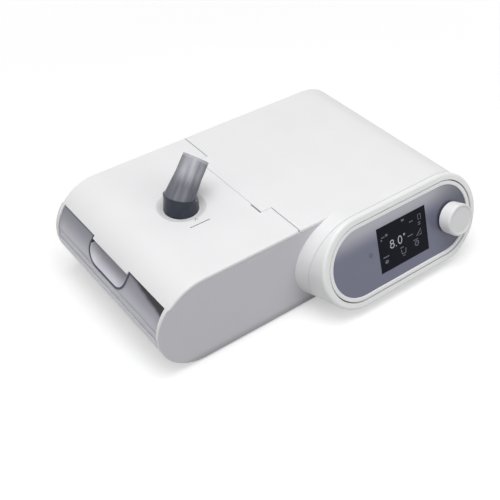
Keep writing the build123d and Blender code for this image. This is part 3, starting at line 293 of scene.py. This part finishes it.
upward = Vector((0.0, 0.0, 1.0))
panel_grey = moulded("panel_grey", (0.61, 0.60, 0.64), 0.5, drift=0.02)
side_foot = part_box("front_side_panel")[0][2]
# Painted shade: the grey darkens over the panels' lowest 9 mm, where the machine's contact shadow
# falls.
fade(panel_grey, -upward, -side_foot - 9.0 * MM, -side_foot, (0.16, 0.16, 0.18), share=0.5)
dress(panel_grey, "front_side_panel", "rear_side_panel")

# Heater: a cast aluminium disc ground flat on top, with its flat resistance element below and a
# moulded thermoset tray that keeps the heat off the bottom shell.
ground_aluminium = metal("ground_aluminium", (0.74, 0.74, 0.75), 0.36, marks=(120.0, 4200.0, 120.0))
element_foil = metal("element_foil", (0.70, 0.42, 0.26), 0.4)
heater_tray = moulded("heater_tray", (0.50, 0.48, 0.42), 0.65, drift=0.08)
dress(ground_aluminium, "heater_plate")
dress(element_foil, "heater_element")
dress(heater_tray, "heater_insulator")

# Divider: a dark grey moulded wall between the humidifier and the blower, snapped into the bottom
# shell. A white silicone lip round its air port meets the tank.
divider_grey = moulded("divider_grey", (0.10, 0.10, 0.11), 0.55)
seal_silicone = rubbery("seal_silicone", (0.62, 0.62, 0.61), roughness=0.5, grain=0.02 * MM)
dress(divider_grey, "divider_wall")
dress(seal_silicone, "tank_port_seal")

# Blower: a scroll housing and cap in black glass-filled plastic on four soft grey mounts. A moulded
# impeller runs on the shaft of the brushless motor that hangs below it.
housing_black = moulded(
    "housing_black", (0.022, 0.022, 0.025), 0.48, grain=0.03 * MM, grain_scale=1600.0
)
mount_rubber = rubbery("mount_rubber", (0.2, 0.2, 0.21))
motor_cast = metal(
    "motor_cast", (0.70, 0.70, 0.71), 0.45, marks=(700.0, 700.0, 700.0), depth=0.03 * MM
)
motor_copper = metal(
    "motor_copper", (0.72, 0.36, 0.2), 0.38, marks=(200.0, 200.0, 5200.0), depth=0.06 * MM
)
bearing_steel = metal("bearing_steel", (0.58, 0.58, 0.6), 0.22)
impeller_nylon = moulded("impeller_nylon", (0.72, 0.72, 0.68), 0.4)
duct_rubber = rubbery("duct_rubber", (0.03, 0.03, 0.032))
dress(housing_black, "blower_housing", "blower_cap")
dress(mount_rubber, "blower_mounts")
dress(motor_cast, "motor_housing")
dress(motor_copper, "motor_stator")
dress(bearing_steel, "motor_bearings", "motor_rotor", "hinge_pins")
dress(impeller_nylon, "impeller")
dress(duct_rubber, "outlet_duct")


# Air intake: the slotted cover in the rear panel, a white pleated filter pad, and a dark box behind
# it that is lined with open cell foam to quieten the air.
def fibrous(name, colour, cell_scale, depth):
    """Felted fibre or open foam, rough right through."""
    material, tree, shader = new_material(name)
    pores = cells(tree, cell_scale)
    fill(tree, shader, {
        "Base Color": mixed(tree, pores, [c * 0.6 for c in colour], colour),
        "Roughness": 0.95,
        "Specular IOR Level": 0.15,
        "Normal": relief(tree, pores, 0.8, depth),
    })
    return material


filter_fibre = fibrous("filter_fibre", (0.86, 0.86, 0.83), 1100.0, 0.3 * MM)
foam_cells = fibrous("foam_cells", (0.09, 0.09, 0.1), 700.0, 0.6 * MM)
dress(panel_grey, "filter_cover")
dress(filter_fibre, "air_filter")
dress(divider_grey, "intake_box")
dress(foam_cells, "silencer_foam")


# Circuit boards: glass-epoxy under green solder mask, with the black parts soldered on them and a
# flat white cable that climbs to the panel's board.
def solder_mask(name):
    """Green lacquer with the faint relief of the tracks under it."""
    material, tree, shader = new_material(name)
    tracks = tree.nodes.new("ShaderNodeTexBrick")
    fill(tree, tracks, {
        "Vector": place_at_rest(tree),
        "Scale": 160.0,
        "Mortar Size": 0.06,
        "Color1": (0.010, 0.085, 0.035),
        "Color2": (0.012, 0.105, 0.042),
        "Mortar": (0.03, 0.17, 0.07),
    })
    fill(tree, shader, {
        "Base Color": tracks.outputs["Color"],
        "Roughness": 0.3,
        "Normal": relief(tree, tracks.outputs["Fac"], 0.4, 0.04 * MM),
    })
    return material


board_green = solder_mask("board_green")
part_black = moulded("part_black", (0.02, 0.02, 0.022), 0.45, grain_scale=4000.0)
cable_white = moulded("cable_white", (0.68, 0.68, 0.66), 0.4)
dress(board_green, "main_board", "socket_board", "panel_board")
dress(part_black, "board_components")
dress(cable_white, "panel_cable")

# Sockets at the rear: the round power inlet with its centre pin, and the steel card socket behind a
# soft grey flap.
flap_rubber = rubbery("flap_rubber", (0.3, 0.3, 0.315), roughness=0.65)
dress(part_black, "power_inlet")
dress(bearing_steel, "power_inlet_pin", "card_socket")
dress(flap_rubber, "card_cover")


# Water tank: tub and cover moulded in clear smoky polycarbonate, snapped together over a silicone
# seal, with a pressed steel plate in the floor. The cover carries painted shade that deepens upward
# under the lid's edge, a painted shadow line along that edge, a wavering wedge of painted shade
# under the lid at the front, and painted shade where it reaches in under the lid. Its finger pocket
# has a pale liner whose pale tone is painted light and whose back has painted shade, and a dark
# edge strip.
def smoky(name, colour, clearness, roughness):
    """Smoked clear plastic: light comes through it, and its moulded faces are faintly uneven."""
    material, tree, shader = new_material(name)
    clouds = speckle(tree, 40.0, detail=4.0)
    dark = [c * 0.9 for c in colour]
    pale = [min(1.0, c * 1.06) for c in colour]
    fill(tree, shader, {
        "Base Color": mixed(tree, clouds, dark, pale),
        "Roughness": rescaled(tree, clouds, max(0.02, roughness - 0.04), roughness + 0.05),
        "IOR": 1.45,
        "Transmission Weight": clearness,
        "Normal": relief(tree, clouds, 0.15, 0.2 * MM),
    })
    return material


across = Vector((1.0, 0.0, 0.0))
tub_smoke = smoky("tub_smoke", (0.80, 0.80, 0.88), 0.4, 0.14)
cover_smoke = smoky("cover_smoke", (0.80, 0.79, 0.88), 0.4, 0.14)
cover_foot, cover_top = (corner[2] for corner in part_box("tank_cover"))
lid_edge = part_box("humidifier_lid")[0][0]
front_lean = Vector((0.0, -0.12, 1.0))
# Painted shade: the cover darkens upward toward the lid's edge, where the lid shades it.
fade(cover_smoke, upward, cover_foot, cover_top - 1.1 * MM, (0.13, 0.13, 0.17), share=0.62)
# Painted shadow: a dark line just under the lid's edge.
fade(cover_smoke, upward, cover_top - 1.5 * MM, cover_top - 0.2 * MM, (0.04, 0.04, 0.05), share=0.6)
# Painted shade: a wavering dark wedge under the lid's edge in the front half, for the tank's dark
# inside.
fade(
    cover_smoke, front_lean, cover_top - 1.5 * MM, cover_top + 2.1 * MM, (0.025, 0.025, 0.035),
    waver=1.8 * MM,
)
# Painted shade: the parts of the cover that reach in under the lid, past its outer face, are darker.
fade(cover_smoke, across, lid_edge + 2.6 * MM, lid_edge + 4.6 * MM, (0.52, 0.51, 0.58), share=0.85)
# Painted light: the liner's pale tone stands in for light that comes into the pocket through the clear
# tank.
pocket_painted_light_and_shade = moulded("pocket_painted_light_and_shade", (0.70, 0.69, 0.75), 0.35)
pocket_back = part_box("pocket_liner")[1][0]
# Painted shade: the liner darkens toward the back of the pocket, under the lid's tab.
fade(
    pocket_painted_light_and_shade, across, pocket_back - 2.4 * MM, pocket_back + 0.8 * MM, (0.05, 0.05, 0.058),
    waver=0.25 * MM,
)
trim_slate = rubbery("trim_slate", (0.045, 0.052, 0.075), roughness=0.5, grain=0.02 * MM)
tank_gasket = rubbery("tank_gasket", (0.33, 0.33, 0.37), roughness=0.5, grain=0.02 * MM)
base_steel = metal("base_steel", (0.60, 0.60, 0.61), 0.3, marks=(3200.0, 150.0, 150.0))
skirt_grey = moulded("skirt_grey", (0.66, 0.66, 0.70), 0.42)
dress(tub_smoke, "tank_tub", "tank_snorkel")
dress(cover_smoke, "tank_cover")
dress(pocket_painted_light_and_shade, "pocket_liner")
dress(trim_slate, "pocket_trim")
dress(tank_gasket, "tank_seal")
dress(base_steel, "tank_base_plate")
dress(skirt_grey, "tank_skirt")

# Humidifier lid: a white moulded sheet that curls down the left end, on two steel pins. Below it a
# silicone bellows seals on the tank's port.
dress(shell_white, "humidifier_lid")
dress(seal_silicone, "outlet_gasket")

# Outlet elbow: smoked clear plastic that turns in the lid, held by an acetal ring and sealed by a
# black O-ring. The thick base is dark, partly for its thick smoked wall and partly as painted shade
# of the dark inside seen through it. The thin tube above the mitre is pale, with painted highlight
# streaks, painted shade on its lower part and a painted highlight band just below its tip.
tube_heading = radians(20.0)
bend_rise = 10.0 * MM
mitre_blur = 0.3 * MM
tube_way = Vector((cos(tube_heading), sin(tube_heading), 1.0)).normalized()
mitre_way = (tube_way + upward).normalized()
ring_low, ring_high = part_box("elbow_o_ring")
lid_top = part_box("humidifier_lid")[1][2]
bend = (Vector(ring_low) + Vector(ring_high)) / 2
bend.z = lid_top + bend_rise

elbow_smoke, elbow_tree, elbow_shader = new_material("elbow_smoke")
elbow_place = place_at_rest(elbow_tree)
mitre_height = add(
    elbow_tree, "VectorMath", "Value", {0: elbow_place, 1: mitre_way}, operation="DOT_PRODUCT"
)
mitre_middle = bend.dot(mitre_way)
above_mitre = rescaled(
    elbow_tree, mitre_height, 0.0, 1.0, mitre_middle - mitre_blur, mitre_middle + mitre_blur
)
along_tube = {
    "Vector": elbow_place,
    "Location": bend,
    "Rotation": upward.rotation_difference(tube_way).to_euler(),
    "Scale": (5.0 * MM, 5.0 * MM, 60.0 * MM),
}
# Streaky noise along the tube: uneven gloss and relief, and painted highlights in the tube's colour.
streaks_and_highlights = add(elbow_tree, "TexNoise", "Fac", {
    "Vector": add(elbow_tree, "Mapping", "Vector", along_tube, vector_type="TEXTURE"),
    "Scale": 1.0,
    "Detail": 3.0,
})
# Painted highlights: the tube's colour runs pale along the streaks.
tube_tone = ramp(elbow_tree, streaks_and_highlights, 0.28, (0.29, 0.29, 0.335), 0.74, (0.88, 0.87, 0.95))
# The base's dark tone is partly painted shade of the dark inside seen through it.
base_tone = ramp(elbow_tree, streaks_and_highlights, 0.3, (0.030, 0.037, 0.052), 0.8, (0.09, 0.10, 0.13))
elbow_tone = mixed(elbow_tree, above_mitre, base_tone, tube_tone)
wall_depth = add(elbow_tree, "LayerWeight", "Facing", {"Blend": 0.55})
fill(elbow_tree, elbow_shader, {
    "Base Color": mixed(elbow_tree, wall_depth, elbow_tone, (0.035, 0.038, 0.05)),
    "Roughness": rescaled(elbow_tree, streaks_and_highlights, 0.14, 0.3),
    "IOR": 1.45,
    "Specular IOR Level": 0.15,
    "Transmission Weight": 0.3,
    "Normal": relief(elbow_tree, streaks_and_highlights, 0.2, 0.2 * MM),
})
tube_tip = max(v.co.dot(tube_way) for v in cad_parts["outlet_elbow"].data.vertices)
# Painted shade: the tube darkens toward its lower part.
fade(
    elbow_smoke, -tube_way, 12.0 * MM - tube_tip, 26.0 * MM - tube_tip, (0.055, 0.065, 0.095),
    share=0.62,
)
# Painted highlight: a pale band just below the tip, on the rim.
fade(elbow_smoke, tube_way, tube_tip - 2.4 * MM, tube_tip - 1.7 * MM, (0.62, 0.62, 0.66), share=0.7)
acetal = moulded("acetal", (0.74, 0.74, 0.70), 0.4)
o_ring_black = rubbery("o_ring_black", (0.02, 0.02, 0.02), roughness=0.5)
dress(elbow_smoke, "outlet_elbow")
dress(acetal, "elbow_retainer", "encoder_body")
dress(o_ring_black, "elbow_o_ring")


# Mark on the lid: a small arrow and a rule, pad printed in grey ink in front of the outlet. It says
# which way the air leaves. All marks are flat strokes, measured in millimetres on their own plane.
def loop(u, v, across_r, up_r, steps=24):
    """An oval path round a centre."""
    turns = [2 * pi * k / steps for k in range(steps)]
    return [(u + across_r * cos(turn), v + up_r * sin(turn)) for turn in turns]


def stroke(path, width, closed=False):
    """The points and faces of a flat line of even width along a path."""
    count = len(path)
    points = []
    for k, (u, v) in enumerate(path):
        before = path[k - 1] if closed or k else path[k]
        after = path[(k + 1) % count] if closed or k < count - 1 else path[k]
        du, dv = after[0] - before[0], after[1] - before[1]
        half = width / 2 / hypot(du, dv)
        points += [(u - dv * half, v + du * half), (u + dv * half, v - du * half)]
    ends = 2 * count
    faces = [
        (2 * k, 2 * k + 1, (2 * k + 3) % ends, (2 * k + 2) % ends)
        for k in range(count if closed else count - 1)
    ]
    return points, faces


def bar(left, right, height, width):
    """A level stroke."""
    return stroke([(left, height), (right, height)], width)


def drawn(name, strokes, material, origin, right, up, body):
    """One flat piece from strokes in millimetres on the plane through an origin."""
    points, faces = [], []
    for line, line_faces in strokes:
        faces += [tuple(k + len(points) for k in face) for face in line_faces]
        points += [origin + (right * u + up * v) * MM for u, v in line]
    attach(mesh_piece(name, points, faces, material), body)


ink_depth = 0.03 * MM
ink_grey = moulded("ink_grey", (0.05, 0.05, 0.056), 0.6, drift=0.1)
arrow = stroke([(-1.6, -22.2), (0.0, -20.4), (1.6, -22.2)], 0.5)
rule = bar(-9.6, 9.2, -27.4, 0.7)
mark_origin = Vector((bend.x, bend.y, lid_top + ink_depth))
rearward = Vector((0.0, 1.0, 0.0))
drawn("outlet_mark", [arrow, rule], ink_grey, mark_origin, across, rearward, "lid")

# Main cover: the white top sheet with the right end and the panel's collar in one moulding, held by
# the four case screws.
dress(shell_white, "main_cover")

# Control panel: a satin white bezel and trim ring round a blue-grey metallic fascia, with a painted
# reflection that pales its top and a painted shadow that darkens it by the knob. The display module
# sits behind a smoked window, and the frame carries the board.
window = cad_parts["display_window"].data
panel_out = min(window.polygons, key=lambda face: face.normal.y * face.area).normal.copy()
panel_up = panel_out.cross(across)
window_reach = max(v.co.dot(panel_out) for v in window.vertices)
window_rise = [v.co.dot(panel_up) for v in window.vertices]
window_low, window_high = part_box("display_window")
fascia_rise = [v.co.dot(panel_up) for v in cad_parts["panel_fascia"].data.vertices]
fascia_mid = (min(fascia_rise) + max(fascia_rise)) / 2
fascia_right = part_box("panel_fascia")[1][0]

bezel_white = moulded("bezel_white", (0.82, 0.825, 0.825), 0.38, drift=0.02, coat=0.1)
ring_white = moulded("ring_white", (0.80, 0.80, 0.81), 0.3, drift=0.02, coat=0.2)
fascia_grey = moulded(
    "fascia_grey", (0.145, 0.15, 0.21), 0.36,
    grain=0.01 * MM, grain_scale=5200.0, drift=0.05, metallic=0.35,
)
# Painted reflection: the fascia pales toward its top edge.
fade(fascia_grey, panel_up, fascia_mid + 8.0 * MM, max(fascia_rise), (0.54, 0.54, 0.57), share=0.7)
# Painted shadow: the fascia darkens toward the knob, where the knob's shadow falls.
fade(
    fascia_grey, across, window_high[0], fascia_right - 10.0 * MM, (0.06, 0.065, 0.08), share=0.6
)
window_black = moulded(
    "window_black", (0.005, 0.006, 0.012), 0.25, grain=0.002 * MM, drift=0.1, sheen=0.06
)
frame_dark = moulded("frame_dark", (0.045, 0.045, 0.05), 0.6)
dress(bezel_white, "panel_bezel")
dress(ring_white, "panel_trim_ring")
dress(fascia_grey, "panel_fascia")
dress(window_black, "display_window")
dress(frame_dark, "panel_frame")
dress(part_black, "display_module", "encoder_plunger")


# Screen: the picture on the display, lit from behind and seen through the smoked window. It gives
# the set pressure in large numerals, with plain signs for the ramp, the clock and the humidifier.
def lit(name, colour, strength):
    """Light from the display's pixels, a little uneven as a small backlight is."""
    material, tree, shader = new_material(name)
    fill(tree, shader, {
        "Base Color": (0.01, 0.01, 0.012),
        "Roughness": 0.5,
        "Specular IOR Level": 0.1,
        "Emission Color": mixed(tree, speckle(tree, 120.0), [c * 0.8 for c in colour], colour),
        "Emission Strength": strength,
    })
    return material


screen_centre = (
    across * (window_low[0] + window_high[0]) / 2
    + panel_up * (min(window_rise) + max(window_rise)) / 2
    + panel_out * (window_reach + ink_depth)
)


def drawn_on_panel(name, strokes, material):
    """A flat piece on the panel's face, measured from the middle of the screen."""
    drawn(name, strokes, material, screen_centre, across, panel_up, "chassis")


screen_bright = lit("screen_bright", (0.62, 0.68, 0.72), 0.62)
screen_dim = lit("screen_dim", (0.55, 0.58, 0.66), 0.22)
eight = [
    stroke(loop(-12.6, 3.05, 1.75, 1.6), 0.9, closed=True),
    stroke(loop(-12.6, -0.4, 2.1, 1.9), 0.9, closed=True),
]
point = [bar(-8.9, -8.0, -2.2, 1.0)]
zero = [stroke(loop(-3.6, 1.3, 2.0, 3.45), 0.9, closed=True)]
small_ring = [stroke(loop(1.6, 4.2, 0.75, 0.75, steps=12), 0.6, closed=True)]
drawn_on_panel("screen_numerals", eight + point + zero + small_ring, screen_bright)

labels = [
    bar(-23.6, -19.8, 11.0, 0.9),
    bar(-19.0, -16.4, 11.6, 2.0),
    bar(-24.6, -22.8, 8.8, 1.3),
    bar(5.0, 11.4, 0.2, 0.9),
    bar(-24.0, -17.4, -7.4, 1.1),
    bar(8.6, 12.8, 12.2, 0.9),
]
drawn_on_panel("screen_labels", labels, screen_dim)

air_sign = [bar(0.0, 3.2, 17.3, 1.7)]
card_sign = [
    stroke([(18.9, 10.6), (22.1, 10.6), (22.1, 15.2), (18.9, 15.2)], 0.7, closed=True),
    bar(18.2, 21.2, 6.0, 0.8),
    bar(18.2, 21.2, 7.8, 0.8),
]
ramp_sign = [stroke([(15.2, -3.4), (20.8, -3.4), (20.8, 1.6)], 1.1, closed=True)]
clock_sign = [
    bar(11.0, 16.6, -6.2, 0.8),
    stroke(loop(14.6, -9.8, 2.1, 2.1, steps=16), 0.9, closed=True),
    stroke([(14.6, -8.6), (14.6, -9.9), (15.7, -9.9)], 0.5),
]
water_sign = [
    bar(-4.6, -0.6, -6.6, 0.9),
    stroke([(-3.6, -8.4), (-2.9, -12.6), (1.1, -12.6), (1.8, -8.4)], 0.9),
    bar(-2.4, 0.6, -14.6, 0.7),
]
dot_sign = [stroke(loop(-20.6, -12.0, 1.3, 1.0, steps=16), 1.3, closed=True)]
signs = air_sign + card_sign + ramp_sign + clock_sign + water_sign + dot_sign
drawn_on_panel("screen_signs", signs, screen_dim)

# Sign on the fascia: a plain open ring with a stem, the common sign for standby. It is printed in
# dark ink beside the screen.
sign_x, sign_y, sign_r = -36.6, 1.0, 1.5
ring_turns = [0.6 + 0.5 * k for k in range(11)]
open_ring = [(sign_x + sign_r * sin(turn), sign_y + sign_r * cos(turn)) for turn in ring_turns]
stem = [(sign_x, 1.3), (sign_x, 3.2)]
drawn_on_panel("panel_sign", [stroke(open_ring, 0.75), stroke(stem, 0.75)], ink_grey)

# Knob: white satin plastic pressed on the encoder's steel shaft. It turns without end and clicks
# when pushed, and painted shade makes its flat face a little greyer than its side.
knob_white = moulded("knob_white", (0.97, 0.97, 0.97), 0.4, drift=0.02)
knob_face = max(v.co.dot(panel_out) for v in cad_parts["control_knob"].data.vertices)
# Painted shade: the knob's flat face, which the lamps light less than its side, is painted greyer.
fade(knob_white, panel_out, knob_face - 1.2 * MM, knob_face - 0.6 * MM, (0.68, 0.68, 0.69))
dress(knob_white, "control_knob")
dress(bearing_steel, "encoder_shaft")
